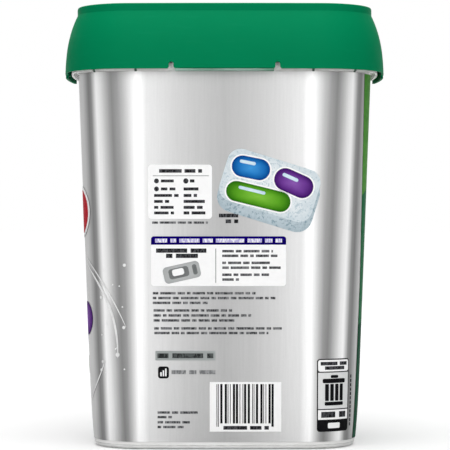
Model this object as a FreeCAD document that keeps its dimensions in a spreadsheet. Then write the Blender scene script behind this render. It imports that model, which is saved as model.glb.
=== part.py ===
"""Dishwasher tablet tub: tapered tub, wrap label, hinged lid and the lid's hinge clip.

Frame: origin at the centre of the foot, +Z up, +X along the long side, the hinge side faces -Y.
"""
import FreeCAD, Part
import math
import os
import Sketcher
from FreeCAD import Vector

doc = FreeCAD.newDocument("TabletTub")

# Driving dimensions in millimetres

SIZES = {
    "side_bow": 290.0,
    "end_bow": 1700.0,
    "tub_rim": 229.0,
    "tub_half_width": 81.5,
    "tub_half_depth": 56.25,
    "tub_corner": 28.5,
    "tub_wall": 1.0,
    "tub_floor": 2.6,
    "wall_slope": 0.038,
    "corner_slope": 0.006,
    "foot_tuck": 1.4,
    "tuck_power": 16.0,
    "foot_round": 3.0,
    "base_recess": 1.4,
    "base_ring": 8.0,
    "bead_out": 0.8,
    "bead_high": 1.8,
    "neck_high": 24.2,
    "collar_high": 3.8,
    "collar_out": 4.0,
    "flange_thick": 1.2,
    "collar_lip": 1.2,
    "slot_wide": 1.2,
    "slot_high": 2.0,
    "slot_reach": 3.0,
    "slot_near": 47.7,
    "slot_far": 70.5,
    "slot_far_in": 7.2,
    "slot_far_cut": 4.3,
    "side_slot_step": 21.0,
    "groove_step": 0.1,
    "cut_over": 5.0,
    "recess_half": 28.5,
    "label_base": 4.2,
    "label_below": 0.5,
    "label_gap": 0.05,
    "label_thick": 0.25,
    "side_overhang": 7.6,
    "end_overhang": 8.75,
    "corner_overhang": 8.5,
    "lid_wall": 1.3,
    "skirt_drop": 1.0,
    "back_lift": 1.4,
    "shoulder_rise": 7.8,
    "band_high": 4.1,
    "lid_top_round": 0.8,
    "dome_inset": 6.8,
    "dome_draft": 0.12,
    "dome_power": 2.6,
    "top_recess": 1.2,
    "top_border": 3.0,
    "top_thick": 1.4,
    "low_front_start": -10.0,
    "notch_place": 28.4,
    "notch_wide": 2.6,
    "notch_high": 3.7,
    "notch_flare": 0.8,
    "relief_start": 32.0,
    "relief_long": 8.5,
    "relief_high": 3.4,
    "snap_half": 30.0,
    "snap_in": 1.5,
    "snap_high": 1.2,
    "snap_root": 0.4,
    "hinge_inset": 0.7,
    "hinge_drop": 0.35,
    "hinge_bead": 0.35,
    "hinge_gap": 0.25,
    "hinge_play": 1.9,
    "clip_bar": 4.0,
    "clip_play": 0.6,
}

sizes = doc.addObject("Spreadsheet::Sheet", "Sizes")
for row, (alias, number) in enumerate(SIZES.items(), start=1):
    sizes.set(f"A{row}", alias)
    sizes.set(f"B{row}", str(number))
    sizes.setAlias(f"B{row}", alias)
doc.recompute()

# Levels and sizes that follow from the tub, each with its own allowance

COLLAR_BASE = "(Sizes.tub_rim - Sizes.neck_high)"
LABEL_TOP = f"({COLLAR_BASE} - Sizes.label_below)"
FRONT_BASE = f"({COLLAR_BASE} - Sizes.skirt_drop)"
BACK_BASE = f"({FRONT_BASE} + Sizes.back_lift)"
SHOULDER = "(Sizes.tub_rim + Sizes.shoulder_rise)"
LID_TOP = f"({SHOULDER} + Sizes.band_high)"
HINGE_LEVEL = f"({BACK_BASE} - Sizes.hinge_drop)"
LID_HALF_WIDTH = "(Sizes.tub_half_width + Sizes.side_overhang)"
LID_HALF_DEPTH = "(Sizes.tub_half_depth + Sizes.end_overhang)"
LID_CORNER = "(Sizes.tub_corner + Sizes.corner_overhang)"

ALL_ROUND = 2 * math.pi
WALL_STEPS = 12
DOME_STEPS = 6


def amount(formula):
    """The number that a formula of the sheet's sizes comes to."""
    return float(sizes.evalExpression(formula))


def new_body(label):
    body = doc.addObject("PartDesign::Body", label)
    body.Label = label
    return body


def new_sketch(body, name, role="XY_Plane", level=None):
    """An empty sketch on one of the body's own planes, lifted off it by a formula."""
    sketch = body.newObject("Sketcher::SketchObject", name)
    plane = next(f for f in body.Origin.OriginFeatures if f.Role == role)
    sketch.AttachmentSupport = (plane, [""])
    sketch.MapMode = "FlatFace"
    if level is not None:
        sketch.setExpression("AttachmentOffset.Base.z", level)
    return sketch


def rule(sketch, name, formula, *constraint):
    """One driven dimension of a sketch, bound to a formula."""
    index = sketch.addConstraint(Sketcher.Constraint(*constraint, amount(formula)))
    sketch.renameConstraint(index, name)
    sketch.setExpression("Constraints." + name, formula)


# Outlines

def add_outline(sketch, half_width, half_depth, corner, tag="out"):
    """A rounded rectangle with gently bowed sides: eight arcs, each tangent to the next."""
    a, b, r = amount(half_width), amount(half_depth), amount(corner)
    side, end = amount("Sizes.side_bow"), amount("Sizes.end_bow")
    side_x, end_y = a - side, b - end
    apart = math.hypot(side_x, end_y)
    along = ((side - r) ** 2 - (end - r) ** 2 + apart**2) / (2 * apart)
    across = math.sqrt((side - r) ** 2 - along**2)
    ux, uy = -side_x / apart, end_y / apart
    cx = side_x + along * ux - across * uy
    cy = along * uy + across * ux
    lean = math.atan2(cy, cx - side_x)
    rise = math.atan2(cy - end_y, cx)
    half, whole = math.pi / 2, math.pi
    arcs = (
        (side_x, 0, side, -lean, lean),
        (cx, cy, r, lean, rise),
        (0, end_y, end, rise, whole - rise),
        (-cx, cy, r, whole - rise, whole - lean),
        (-side_x, 0, side, whole - lean, whole + lean),
        (-cx, -cy, r, whole + lean, whole + rise),
        (0, -end_y, end, whole + rise, ALL_ROUND - rise),
        (cx, -cy, r, ALL_ROUND - rise, ALL_ROUND - lean),
    )
    first = sketch.GeometryCount
    for x, y, radius, start, stop in arcs:
        circle = Part.Circle(Vector(x, y, 0), Vector(0, 0, 1), radius)
        sketch.addGeometry(Part.ArcOfCircle(circle, start, stop), False)
    right, top, left, bottom = first, first + 2, first + 4, first + 6
    for step in range(8):
        here, following = first + step, first + (step + 1) % 8
        sketch.addConstraint(Sketcher.Constraint("Tangent", here, 2, following, 1))
    sketch.addConstraint(Sketcher.Constraint("PointOnObject", right, 3, -1))
    sketch.addConstraint(Sketcher.Constraint("PointOnObject", top, 3, -2))
    sketch.addConstraint(Sketcher.Constraint("Symmetric", right, 3, left, 3, -1, 1))
    sketch.addConstraint(Sketcher.Constraint("Symmetric", top, 3, bottom, 3, -1, 1))
    sketch.addConstraint(Sketcher.Constraint("Equal", right, left))
    sketch.addConstraint(Sketcher.Constraint("Equal", top, bottom))
    for step in (3, 5, 7):
        sketch.addConstraint(Sketcher.Constraint("Equal", first + 1, first + step))
    rule(sketch, tag + "_side", "Sizes.side_bow", "Radius", right)
    rule(sketch, tag + "_end", "Sizes.end_bow", "Radius", top)
    rule(sketch, tag + "_corner", corner, "Radius", first + 1)
    rule(sketch, tag + "_width", f"2 * (Sizes.side_bow - ({half_width}))",
         "DistanceX", right, 3, left, 3)
    rule(sketch, tag + "_depth", f"2 * (Sizes.end_bow - ({half_depth}))",
         "DistanceY", top, 3, bottom, 3)


def tub_sizes(level, inset="0"):
    """Half width, half depth and corner radius of the tub's outside at a level, less an inset."""
    drop = f"Sizes.wall_slope * ({COLLAR_BASE} - {level})"
    tuck = f"Sizes.foot_tuck * (1 - {level} / Sizes.tub_rim) ^ Sizes.tuck_power"
    half_width = f"Sizes.tub_half_width - {drop} - {tuck} - ({inset})"
    half_depth = f"Sizes.tub_half_depth - {drop} - {tuck} - ({inset})"
    corner = f"Sizes.tub_corner - Sizes.corner_slope * ({COLLAR_BASE} - {level}) - ({inset})"
    return half_width, half_depth, corner


def lid_sizes(inset):
    """The same three sizes of the lid, inset from the skirt's lower edge."""
    return tuple(f"{size} - ({inset})" for size in (LID_HALF_WIDTH, LID_HALF_DEPTH, LID_CORNER))


def dome_inset(share):
    """How far the dome has drawn in at a share of its height."""
    return (f"Sizes.dome_inset * (Sizes.dome_draft * {share}"
            f" + (1 - Sizes.dome_draft) * {share} ^ Sizes.dome_power)")


def add_rectangle(sketch, name, left, right, low, high):
    """A rectangle between four formulas, with every side driven."""
    x0, x1, y0, y1 = amount(left), amount(right), amount(low), amount(high)
    corners = (Vector(x0, y0, 0), Vector(x1, y0, 0), Vector(x1, y1, 0), Vector(x0, y1, 0))
    first = sketch.GeometryCount
    for step in range(4):
        sketch.addGeometry(Part.LineSegment(corners[step], corners[(step + 1) % 4]), False)
    for step in range(4):
        following = first + (step + 1) % 4
        sketch.addConstraint(Sketcher.Constraint("Coincident", first + step, 2, following, 1))
    for step, kind in enumerate(("Horizontal", "Vertical", "Horizontal", "Vertical")):
        sketch.addConstraint(Sketcher.Constraint(kind, first + step))
    rule(sketch, name + "_left", left, "DistanceX", -1, 1, first, 1)
    rule(sketch, name + "_low", low, "DistanceY", -1, 1, first, 1)
    rule(sketch, name + "_right", right, "DistanceX", -1, 1, first + 1, 2)
    rule(sketch, name + "_high", high, "DistanceY", -1, 1, first + 1, 2)


# Features

def loft(body, name, sections, subtract=False):
    kind = "PartDesign::SubtractiveLoft" if subtract else "PartDesign::AdditiveLoft"
    feature = body.newObject(kind, name)
    feature.Profile = sections[0]
    feature.Sections = sections[1:]
    feature.Ruled = False
    doc.recompute()
    return feature


def pad(body, name, sketch, length, both=False):
    feature = body.newObject("PartDesign::Pad", name)
    feature.Profile = sketch
    feature.setExpression("Length", length)
    feature.Midplane = both
    doc.recompute()
    return feature


def pocket(body, name, sketch, depth, up=False):
    """A cut below the sketch, or above it; it has to take something away."""
    before = body.Tip.Shape.Volume
    feature = body.newObject("PartDesign::Pocket", name)
    feature.Profile = sketch
    feature.setExpression("Length", depth)
    feature.Reversed = up
    doc.recompute()
    if feature.Shape.Volume > before - 1:
        raise RuntimeError(name + " takes nothing away")
    return feature


def round_edges(body, name, level, radius):
    """Rounds the loop of edges that lies at one level."""
    base = body.Tip
    height = amount(level)
    flat = [
        f"Edge{index}"
        for index, edge in enumerate(base.Shape.Edges, start=1)
        if abs(edge.BoundBox.ZMin - height) < 1e-3 and abs(edge.BoundBox.ZMax - height) < 1e-3
    ]
    feature = body.newObject("PartDesign::Fillet", name)
    feature.Base = (base, flat)
    feature.setExpression("Radius", radius)
    doc.recompute()
    return feature


# Tub

def tub_sections(body, name, low, high, inset="0"):
    """Evenly spaced outlines of the wall between two levels."""
    sections = []
    for step in range(WALL_STEPS + 1):
        level = f"({low} + ({high} - ({low})) * {step} / {WALL_STEPS})"
        sketch = new_sketch(body, f"{name}{step}", level=level)
        add_outline(sketch, *tub_sizes(level, inset))
        sections.append(sketch)
    return sections


def make_tub():
    """Thin tapered wall on a foot ring, with a collar below the mouth that the lid's skirt covers."""
    body = new_body("tub")
    foot = new_sketch(body, "FootOutline")
    add_outline(foot, *tub_sizes("Sizes.label_base"))
    pad(body, "Foot", foot, "Sizes.label_base")
    round_edges(body, "FootRound", "0", "Sizes.foot_round")
    loft(body, "Wall", tub_sections(body, "WallSection", "Sizes.label_base", "Sizes.tub_rim"))

    collar = new_sketch(body, "CollarOutline", level=COLLAR_BASE)
    add_outline(collar, *tub_sizes(COLLAR_BASE, "-Sizes.collar_out"))
    inner = tub_sizes(COLLAR_BASE, "Sizes.tub_wall / 2")
    add_outline(collar, *inner, tag="hole")
    pad(body, "Collar", collar, "Sizes.collar_high")

    groove = new_sketch(body, "CollarGrooveOutline", level=COLLAR_BASE)
    lip_inside = "Sizes.collar_lip - Sizes.collar_out"
    add_outline(groove, *tub_sizes(COLLAR_BASE, lip_inside))
    add_outline(groove, *tub_sizes(COLLAR_BASE, "-Sizes.groove_step"), tag="hole")
    pocket(body, "CollarGroove", groove, "Sizes.collar_high - Sizes.flange_thick", up=True)

    slots = new_sketch(body, "SlotOutlines", level=COLLAR_BASE)
    half = "Sizes.slot_wide / 2"
    out_y = "Sizes.tub_half_depth + Sizes.collar_out + 1"
    for size, cut, deep in (("near", "0", "Sizes.slot_reach"),
                            ("far", "Sizes.slot_far_cut", "Sizes.slot_reach + Sizes.slot_far_in")):
        for hand in ("left", "right"):
            x = f"{'-' if hand == 'left' else ''}Sizes.slot_{size}"
            across = f"{x} - {half}", f"{x} + {half}"
            name = f"{size}_{hand}"
            add_rectangle(slots, name + "_front", *across, f"{out_y} - ({deep})", f"{out_y} - {cut}")
            add_rectangle(slots, name + "_back", *across, f"{cut} - ({out_y})", f"{deep} - ({out_y})")
    out_x = "Sizes.tub_half_width + Sizes.collar_out + 1"
    for number, place in enumerate(("-Sizes.side_slot_step", "0", "Sizes.side_slot_step")):
        along = f"{place} - {half}", f"{place} + {half}"
        add_rectangle(slots, f"right{number}", f"{out_x} - Sizes.slot_reach", out_x, *along)
        add_rectangle(slots, f"left{number}", f"-({out_x})", f"Sizes.slot_reach - ({out_x})", *along)
    pocket(body, "Slots", slots, "Sizes.slot_high", up=True)

    recess = new_sketch(body, "ClipRecessOutline", level=COLLAR_BASE)
    add_rectangle(recess, "recess", "-Sizes.recess_half", "Sizes.recess_half",
                  f"-({out_y})", "-Sizes.tub_half_depth - Sizes.clip_play")
    pocket(body, "ClipRecess", recess, "Sizes.collar_high - Sizes.flange_thick", up=True)

    bead = new_sketch(body, "BeadOutline", level="Sizes.tub_rim - Sizes.bead_high")
    add_outline(bead, *tub_sizes("Sizes.tub_rim", "-Sizes.bead_out"))
    add_outline(bead, *tub_sizes("Sizes.tub_rim", "Sizes.tub_wall / 2"), tag="hole")
    pad(body, "RimBead", bead, "Sizes.bead_high")

    sections = tub_sections(body, "InsideSection", "Sizes.tub_floor", "Sizes.tub_rim",
                            "Sizes.tub_wall")
    loft(body, "Inside", sections, subtract=True)

    base = new_sketch(body, "BaseRecessOutline", level="0")
    add_outline(base, *tub_sizes("0", "Sizes.base_ring"))
    pocket(body, "BaseRecess", base, "Sizes.base_recess", up=True)
    return body


# Label

def make_label():
    """The wrap film: one thin sleeve that stands a hair off the wall, from the foot to the collar."""
    body = new_body("label")
    ends = "Sizes.label_base", LABEL_TOP
    outside = tub_sections(body, "FilmSection", *ends, "-Sizes.label_gap - Sizes.label_thick")
    loft(body, "Film", outside)
    inside = tub_sections(body, "FilmInsideSection", *ends, "-Sizes.label_gap")
    loft(body, "FilmInside", inside, subtract=True)
    return body


# Lid

def dome_sections(body, name, wall, base, step_count):
    sections = []
    for step in range(step_count + 1):
        share = step / step_count
        level = f"{FRONT_BASE} + ({SHOULDER} - {FRONT_BASE}) * {share}"
        sketch = new_sketch(body, f"{name}{step}", level=base if step == 0 else level)
        add_outline(sketch, *lid_sizes(f"{dome_inset(share)} + {wall}"))
        sections.append(sketch)
    return sections


def add_notch(sketch, name, middle, floor):
    """An upright slot with a round top and flared lower corners, drawn on the upright plane."""
    half, flare = amount("Sizes.notch_wide") / 2, amount("Sizes.notch_flare")
    low, x = amount(floor) - flare, amount(middle)
    neck, spring = low + 2 * flare, amount(floor) + amount("Sizes.notch_high") - half
    corners = (
        Vector(x - half, spring, 0),
        Vector(x - half, neck, 0),
        Vector(x - half - 2 * flare, low, 0),
        Vector(x + half + 2 * flare, low, 0),
        Vector(x + half, neck, 0),
        Vector(x + half, spring, 0),
    )
    first = sketch.GeometryCount
    for step in range(5):
        sketch.addGeometry(Part.LineSegment(corners[step], corners[step + 1]), False)
    top = Part.Circle(Vector(x, spring, 0), Vector(0, 0, 1), half)
    arc = sketch.addGeometry(Part.ArcOfCircle(top, 0, math.pi), False)
    for step in range(4):
        joint = ("Coincident", first + step, 2, first + step + 1, 1)
        sketch.addConstraint(Sketcher.Constraint(*joint))
    sketch.addConstraint(Sketcher.Constraint("Tangent", first + 4, 2, arc, 1))
    sketch.addConstraint(Sketcher.Constraint("Tangent", arc, 2, first, 1))
    sketch.addConstraint(Sketcher.Constraint("Vertical", first))
    sketch.addConstraint(Sketcher.Constraint("Horizontal", first + 2))
    sketch.addConstraint(Sketcher.Constraint("Equal", first + 1, first + 3))
    sketch.addConstraint(Sketcher.Constraint("Equal", first, first + 4))
    rule(sketch, name + "_middle", middle, "DistanceX", -1, 1, arc, 3)
    rule(sketch, name + "_top", f"{floor} + Sizes.notch_high - Sizes.notch_wide / 2",
         "DistanceY", -1, 1, arc, 3)
    rule(sketch, name + "_round", "Sizes.notch_wide / 2", "Radius", arc)
    rule(sketch, name + "_low", f"{floor} - Sizes.notch_flare", "DistanceY", -1, 1, first + 2, 1)
    rule(sketch, name + "_flare", "2 * Sizes.notch_flare", "DistanceY", first + 1, 2, first + 1, 1)
    rule(sketch, name + "_spread", "2 * Sizes.notch_flare", "DistanceX", first + 1, 2, first + 1, 1)


def make_lid():
    """One green moulding: recessed top, upright band, dome that runs down into a skirt."""
    body = new_body("lid")
    band = new_sketch(body, "BandOutline", level=SHOULDER)
    add_outline(band, *lid_sizes("Sizes.dome_inset"))
    pad(body, "Band", band, f"{LID_TOP} - {SHOULDER}")
    round_edges(body, "TopRound", LID_TOP, "Sizes.lid_top_round")
    sections = dome_sections(body, "DomeSection", "0", FRONT_BASE, DOME_STEPS)
    loft(body, "Dome", sections)

    top = new_sketch(body, "TopRecessOutline", level=LID_TOP)
    add_outline(top, *lid_sizes("Sizes.dome_inset + Sizes.top_border"))
    pocket(body, "TopRecess", top, "Sizes.top_recess")

    inside = dome_sections(body, "InsideSection", "Sizes.lid_wall",
                           f"{FRONT_BASE} - 1", DOME_STEPS)
    loft(body, "Inside", inside, subtract=True)
    attic = new_sketch(body, "AtticOutline", level=SHOULDER)
    add_outline(attic, *lid_sizes("Sizes.dome_inset + Sizes.lid_wall"))
    pocket(body, "Attic", attic,
           f"{LID_TOP} - Sizes.top_recess - Sizes.top_thick - {SHOULDER}", up=True)

    raised = new_sketch(body, "BackSkirtOutline", level=FRONT_BASE)
    beyond = f"{LID_HALF_WIDTH} + Sizes.cut_over"
    add_rectangle(raised, "back", f"-({beyond})", beyond,
                  f"-{LID_HALF_DEPTH} - Sizes.cut_over", "Sizes.low_front_start")
    pocket(body, "BackSkirt", raised, f"{BACK_BASE} - {FRONT_BASE}", up=True)

    notches = new_sketch(body, "NotchOutlines", "XZ_Plane", f"{LID_HALF_DEPTH} - Sizes.cut_over")
    add_notch(notches, "left", "-Sizes.notch_place", BACK_BASE)
    add_notch(notches, "right", "Sizes.notch_place", BACK_BASE)
    pocket(body, "Notches", notches, "2 * Sizes.cut_over", up=True)

    hinge = new_sketch(body, "HingeEdgeOutline", level=BACK_BASE)
    add_rectangle(hinge, "hinge", "-Sizes.notch_place", "Sizes.notch_place",
                  f"-{LID_HALF_DEPTH} - Sizes.cut_over", f"-{LID_HALF_DEPTH} + Sizes.cut_over")
    raise_by = f"{HINGE_LEVEL} + Sizes.hinge_bead + Sizes.hinge_gap - {BACK_BASE}"
    pocket(body, "HingeEdge", hinge, raise_by, up=True)

    relief = new_sketch(body, "ReliefOutline", "YZ_Plane", f"{LID_HALF_WIDTH} + Sizes.cut_over")
    add_rectangle(relief, "relief", "Sizes.relief_start", "Sizes.relief_start + Sizes.relief_long",
                  f"{FRONT_BASE} - 1", f"{FRONT_BASE} + Sizes.relief_high")
    pocket(body, "Reliefs", relief, f"2 * ({LID_HALF_WIDTH} + Sizes.cut_over)")

    snap = new_sketch(body, "SnapBeadOutline", level=FRONT_BASE)
    inner_face = f"{LID_HALF_DEPTH} - Sizes.lid_wall"
    add_rectangle(snap, "snap", "-Sizes.snap_half", "Sizes.snap_half",
                  f"{inner_face} - Sizes.snap_in", f"{inner_face} + Sizes.snap_root")
    pad(body, "SnapBead", snap, "Sizes.snap_high")
    return body


# Hinge clip

def make_hinge_clip():
    """Strap whose round outer edge is the hinge line, with a bar that sits up under the collar."""
    body = new_body("hinge_clip")
    sketch = new_sketch(body, "ClipOutline", "YZ_Plane")
    radius = amount("Sizes.hinge_bead")
    axis_y = amount(f"Sizes.hinge_inset - {LID_HALF_DEPTH}")
    axis_z = amount(HINGE_LEVEL)
    inner_y = -amount("Sizes.tub_half_depth + Sizes.clip_play")
    bar_y = inner_y - amount("Sizes.clip_bar")
    top_z = amount(f"{COLLAR_BASE} + Sizes.collar_high - Sizes.flange_thick")
    corners = (
        Vector(axis_y, axis_z - radius, 0),
        Vector(inner_y, axis_z - radius, 0),
        Vector(inner_y, top_z, 0),
        Vector(bar_y, top_z, 0),
        Vector(bar_y, axis_z + radius, 0),
        Vector(axis_y, axis_z + radius, 0),
    )
    for step in range(5):
        sketch.addGeometry(Part.LineSegment(corners[step], corners[step + 1]), False)
    circle = Part.Circle(Vector(axis_y, axis_z, 0), Vector(0, 0, 1), radius)
    sketch.addGeometry(Part.ArcOfCircle(circle, math.pi / 2, 3 * math.pi / 2), False)
    for step in range(4):
        sketch.addConstraint(Sketcher.Constraint("Coincident", step, 2, step + 1, 1))
    sketch.addConstraint(Sketcher.Constraint("Tangent", 4, 2, 5, 1))
    sketch.addConstraint(Sketcher.Constraint("Tangent", 5, 2, 0, 1))
    for step, kind in enumerate(("Horizontal", "Vertical", "Horizontal", "Vertical")):
        sketch.addConstraint(Sketcher.Constraint(kind, step))
    rule(sketch, "axis_y", f"{LID_HALF_DEPTH} - Sizes.hinge_inset", "DistanceX", 5, 3, -1, 1)
    rule(sketch, "axis_z", HINGE_LEVEL, "DistanceY", -1, 1, 5, 3)
    rule(sketch, "bead_round", "Sizes.hinge_bead", "Radius", 5)
    rule(sketch, "inner_face", "Sizes.tub_half_depth + Sizes.clip_play", "DistanceX", 0, 2, -1, 1)
    rule(sketch, "bar_deep", "Sizes.clip_bar", "DistanceX", 3, 1, 0, 2)
    rule(sketch, "bar_top", f"{COLLAR_BASE} + Sizes.collar_high - Sizes.flange_thick",
         "DistanceY", -1, 1, 2, 1)
    pad(body, "Clip", sketch, "2 * (Sizes.notch_place - Sizes.hinge_play)", both=True)
    return body


# Check and write

bodies = [make_tub(), make_label(), make_lid(), make_hinge_clip()]
doc.recompute()
for item in doc.Objects:
    if "Invalid" in item.State or "Error" in item.State:
        raise RuntimeError(f"{item.Name} is not built: {item.State}")
for body in bodies:
    if body.Shape.isNull() or not body.Shape.isValid():
        raise RuntimeError(f"{body.Label} has no valid shape")

os.makedirs("parts", exist_ok=True)
for body in bodies:
    body.Shape.exportStep(f"parts/{body.Label}.step")
    box = body.Shape.BoundBox
    print(body.Label, len(body.Shape.Solids), round(body.Shape.Volume), box)
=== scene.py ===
import math

import bpy
import numpy as np
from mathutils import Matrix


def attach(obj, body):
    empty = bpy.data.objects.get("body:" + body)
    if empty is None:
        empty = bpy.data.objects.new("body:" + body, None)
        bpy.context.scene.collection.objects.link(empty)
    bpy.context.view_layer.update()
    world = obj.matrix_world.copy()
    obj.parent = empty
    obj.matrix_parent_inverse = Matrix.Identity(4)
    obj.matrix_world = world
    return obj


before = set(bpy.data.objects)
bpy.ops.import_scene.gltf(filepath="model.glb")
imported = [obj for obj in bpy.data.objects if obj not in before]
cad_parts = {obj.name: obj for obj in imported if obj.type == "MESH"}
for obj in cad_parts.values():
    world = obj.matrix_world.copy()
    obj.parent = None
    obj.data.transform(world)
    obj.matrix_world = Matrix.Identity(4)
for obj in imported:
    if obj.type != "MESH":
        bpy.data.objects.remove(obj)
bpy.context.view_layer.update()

# The tub itself: a thin white polypropylene moulding with a fine satin skin. Only its foot, the
# edge of its collar and, with the lid open, its rim and inside are seen. The foot carries two
# shallow steps where the mould's base plate meets its walls, with painted shade along them as
# thin grey lines, and the insides of the collar's slots are painted dark as shade.

MM = 0.001
TUB_WHITE = "#F6F6F5"
TUB_SHADE = "#ECECEA"
TUB_GLOSS = 0.36
TUB_PEEL = 0.15
CLOUDS = (26.0, 0.35, 0.7)
SCUFFS = (140.0, 0.3, 0.7, 0.16)
ORANGE_PEEL = (900.0, 0.0, 1.0)
PEEL_DEPTH = 0.3 * MM
# Painted shade along the foot's steps: its grey, and a mottle that breaks it up.
STEP_SHADE_GREY = "#BDBDBC"
STEP_SHADE_MOTTLE = (300.0, 0.1, 0.6, 0.7)
STEP_LEVELS = (0.75 * MM, 2.4 * MM)
STEP_HALF = 0.25 * MM
STEP_RIDGE = 0.2 * MM
# Painted shade: the dark colour given to the insides of the collar's slots.
SLOT_PAINTED_SHADE = "#3E5148"
SLOT_PLACES = (47.7 * MM, 70.5 * MM)
SLOT_HALF = 0.7 * MM
SLOT_LEVEL = 205.8 * MM
SLOT_HALF_HIGH = 2.0 * MM
SLOT_TURN = 0.325
SLOT_OUTSIDE = 70.9 * MM


def colour(code):
    """A screen colour such as #ECECE8 as linear red, green, blue and 1."""
    values = np.array([int(code[i:i + 2], 16) for i in (1, 3, 5)]) / 255
    linear = np.where(values <= 0.04045, values / 12.92, ((values + 0.055) / 1.055) ** 2.4)
    return (*linear.tolist(), 1.0)


def wire(tree, kind, settings=None, **inputs):
    """A node of one kind with its inputs set or linked: i3 is the fourth input, From_Min a name."""
    node = tree.nodes.new(kind)
    for name, value in (settings or {}).items():
        setattr(node, name, value)
    for name, value in inputs.items():
        key = int(name[1:]) if name[0] == "i" and name[1:].isdigit() else name.replace("_", " ")
        if isinstance(value, bpy.types.NodeSocket):
            tree.links.new(value, node.inputs[key])
        else:
            node.inputs[key].default_value = value
    return node


def maths(tree, operation, *values):
    """The result of one Math node."""
    inputs = {f"i{number}": value for number, value in enumerate(values)}
    return wire(tree, "ShaderNodeMath", {"operation": operation}, **inputs).outputs[0]


def mixed(tree, share, first, second, blend="MIX"):
    """A colour between two others by a share from 0 to 1."""
    settings = {"data_type": "RGBA", "blend_type": blend}
    return wire(tree, "ShaderNodeMix", settings, i0=share, i6=first, i7=second).outputs[2]


def object_place(tree, stretch=None):
    """Object coordinates, stretched where a pattern is finer along one axis than another."""
    place = wire(tree, "ShaderNodeTexCoord").outputs["Object"]
    return wire(tree, "ShaderNodeMapping", Vector=place, Scale=stretch).outputs[0] if stretch else place


def object_axes(tree):
    """Object coordinates as three separate values."""
    return wire(tree, "ShaderNodeSeparateXYZ", Vector=object_place(tree)).outputs


def speckle(tree, scale, low, high, most=1.0, stretch=None, detail=4.0, rough=0.6):
    """A noise mask: 0 where the noise is under low, most where it is over high."""
    noise = wire(tree, "ShaderNodeTexNoise", Vector=object_place(tree, stretch), Scale=scale,
                 Detail=detail, Roughness=rough)
    return wire(tree, "ShaderNodeMapRange", Value=noise.outputs["Fac"], From_Min=low, From_Max=high,
                To_Max=most).outputs[0]


def new_group(name, inputs, outputs):
    """An empty shader group with its typed inputs, their first values and its typed outputs."""
    group = bpy.data.node_groups.new(name, "ShaderNodeTree")
    for label, (kind, start) in inputs.items():
        socket = group.interface.new_socket(label, in_out="INPUT", socket_type="NodeSocket" + kind)
        socket.default_value = start
    for label, kind in outputs.items():
        group.interface.new_socket(label, in_out="OUTPUT", socket_type="NodeSocket" + kind)
    return group, group.nodes.new("NodeGroupInput").outputs, group.nodes.new("NodeGroupOutput").inputs


def place_group(tree, group, **values):
    """A shader group placed in a material, with its inputs set or linked."""
    return wire(tree, "ShaderNodeGroup", {"node_tree": group}, **values).outputs


def new_material(name, **constants):
    """A material that ends in one Principled shader, with the shader's constant inputs."""
    material = bpy.data.materials.new(name)
    material.use_nodes = True
    tree = material.node_tree
    tree.nodes.clear()
    shader = wire(tree, "ShaderNodeBsdfPrincipled", **constants)
    wire(tree, "ShaderNodeOutputMaterial", Surface=shader.outputs[0])
    return material, tree, shader


def feed(tree, shader, **sockets):
    """Links results to inputs of a shader."""
    for name, socket in sockets.items():
        tree.links.new(socket, shader.inputs[name.replace("_", " ")])


def moulded_skin_group():
    """Skin of moulded plastic: cloudy tone, uneven gloss and a fine orange-peel surface."""
    group, given, result = new_group(
        "moulded_skin",
        {"Tone": ("Color", colour(TUB_WHITE)), "Shade": ("Color", colour(TUB_SHADE)),
         "Gloss": ("Float", 0.4), "Peel": ("Float", 0.05)},
        {"Color": "Color", "Roughness": "Float", "Normal": "Vector"})
    clouds = speckle(group, *CLOUDS)
    scuffs = speckle(group, *SCUFFS, detail=6.0, rough=0.7)
    peel = speckle(group, *ORANGE_PEEL, detail=3.0)
    bump = wire(group, "ShaderNodeBump", Strength=given["Peel"], Distance=PEEL_DEPTH, Height=peel)
    group.links.new(mixed(group, clouds, given["Tone"], given["Shade"]), result["Color"])
    group.links.new(maths(group, "ADD", given["Gloss"], scuffs), result["Roughness"])
    group.links.new(bump.outputs[0], result["Normal"])
    return group


moulded_skin = moulded_skin_group()


def dress(node, material):
    """Gives a CAD node its one material."""
    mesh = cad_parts[node].data
    mesh.materials.clear()
    mesh.materials.append(material)


def in_slots(tree, place):
    """1 inside the slots under the collar, where their shade is painted, by their distance from the middle
    plane and level.

    They lie outside the wall, where |y| plus SLOT_TURN times |x| is more than SLOT_OUTSIDE.
    """
    aside = maths(tree, "ABSOLUTE", place["X"])
    across = maths(tree, "MAXIMUM", *(maths(tree, "COMPARE", aside, at, SLOT_HALF) for at in SLOT_PLACES))
    level = maths(tree, "COMPARE", place["Z"], SLOT_LEVEL, SLOT_HALF_HIGH)
    outward = maths(tree, "MULTIPLY_ADD", aside, SLOT_TURN, maths(tree, "ABSOLUTE", place["Y"]))
    outside = maths(tree, "GREATER_THAN", outward, SLOT_OUTSIDE)
    return maths(tree, "MULTIPLY", maths(tree, "MULTIPLY", across, level), outside)


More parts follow.
